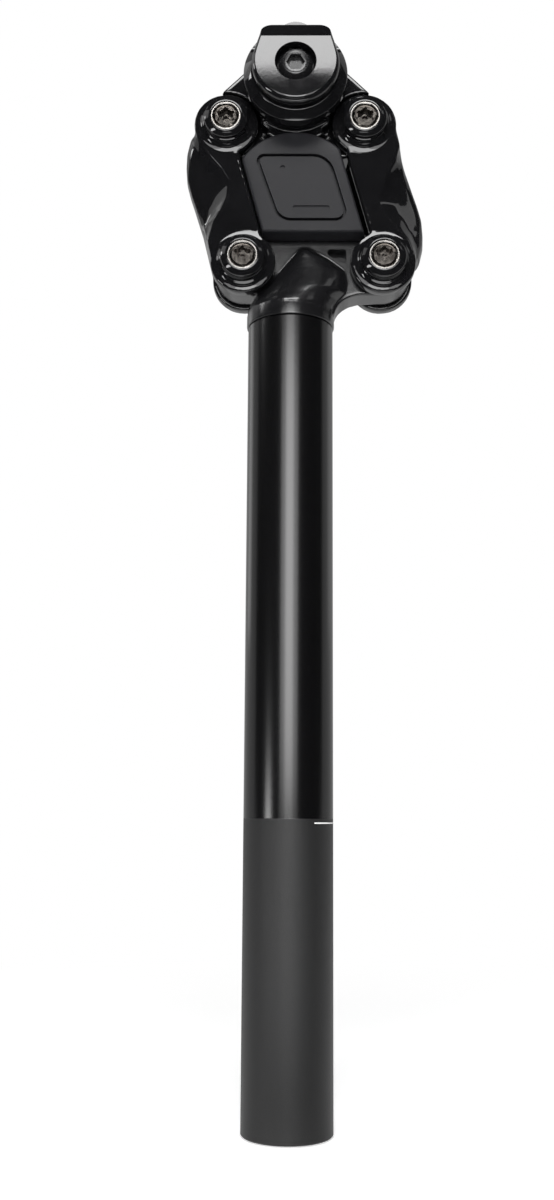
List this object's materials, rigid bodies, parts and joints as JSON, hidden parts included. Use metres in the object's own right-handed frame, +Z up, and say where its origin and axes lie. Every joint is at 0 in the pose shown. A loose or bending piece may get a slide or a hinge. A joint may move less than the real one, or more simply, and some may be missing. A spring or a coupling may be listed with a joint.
{
  "type": "suspension seatpost",
  "caption": "Parallelogram suspension seatpost: black tube, two swinging links, an elastomer block between them and a side-bolt saddle rail clamp.",
  "frame": {"origin": "centre of the tube's lower end", "axes": "+Z up along the tube, +X towards the front of the bicycle, +Y towards its left side"},
  "size_m": [0.0884, 0.054, 0.3904],
  "materials": {
    "gloss_black": "gloss",
    "tube_black": "gloss",
    "satin_black": "satin",
    "rubber_grey": "matte",
    "stainless": "satin",
    "black_steel": "satin",
    "bushing_polymer": "matte"
  },
  "bodies": {
    "post": {"post_tube": "tube_black", "lower_body": "satin_black", "elastomer": "rubber_grey", "lower_bushings": "bushing_polymer"},
    "rear_link": {"rear_link": "gloss_black", "rear_lower_axle": "stainless", "rear_upper_axle": "stainless", "rear_link_screws": "stainless"},
    "front_link": {"front_link": "gloss_black", "front_lower_axle": "stainless", "front_upper_axle": "stainless", "front_link_screws": "stainless"},
    "head": {"head": "gloss_black", "upper_bushings": "bushing_polymer"},
    "saddle_clamp": {"right_cradle": "gloss_black", "left_cradle": "gloss_black"},
    "right_cap": {"right_cap": "gloss_black", "clamp_bolt": "black_steel", "bolt_washer": "black_steel"},
    "left_cap": {"left_cap": "gloss_black", "clamp_nut": "black_steel"}
  },
  "joints": [
    {"name": "rear_link_swing", "type": "hinge", "parent": "post", "child": "rear_link", "pos_m": [-0.0174, 0, 0.3023], "axis": [0, -1, 0], "range_deg": [0, 50], "stiffness_Nm_per_rad": 40, "deforming": ["elastomer"]},
    {"name": "front_link_swing", "type": "hinge", "parent": "post", "child": "front_link", "pos_m": [0.0336, 0, 0.3023], "axis": [0, -1, 0], "range_deg": [0, 50]},
    {"name": "head_level", "type": "hinge", "parent": "rear_link", "child": "head", "pos_m": [-0.02403, 0, 0.35629], "axis": [0, 1, 0], "range_deg": [0, 50]},
    {"name": "saddle_tilt", "type": "hinge", "parent": "head", "child": "saddle_clamp", "pos_m": [0.00147, 0, 0.3715], "axis": [0, 1, 0], "range_deg": [-15, 15]},
    {"name": "right_cap_slide", "type": "slide", "parent": "saddle_clamp", "child": "right_cap", "axis": [0, -1, 0], "range_m": [0, 0.0015]},
    {"name": "left_cap_slide", "type": "slide", "parent": "saddle_clamp", "child": "left_cap", "axis": [0, 1, 0], "range_m": [0, 0.0015]}
  ],
  "couplings": [
    {"joint": "front_link_swing", "follows": "rear_link_swing", "ratio": 1},
    {"joint": "head_level", "follows": "rear_link_swing", "ratio": 1},
    {"joint": "left_cap_slide", "follows": "right_cap_slide", "ratio": 1}
  ]
}
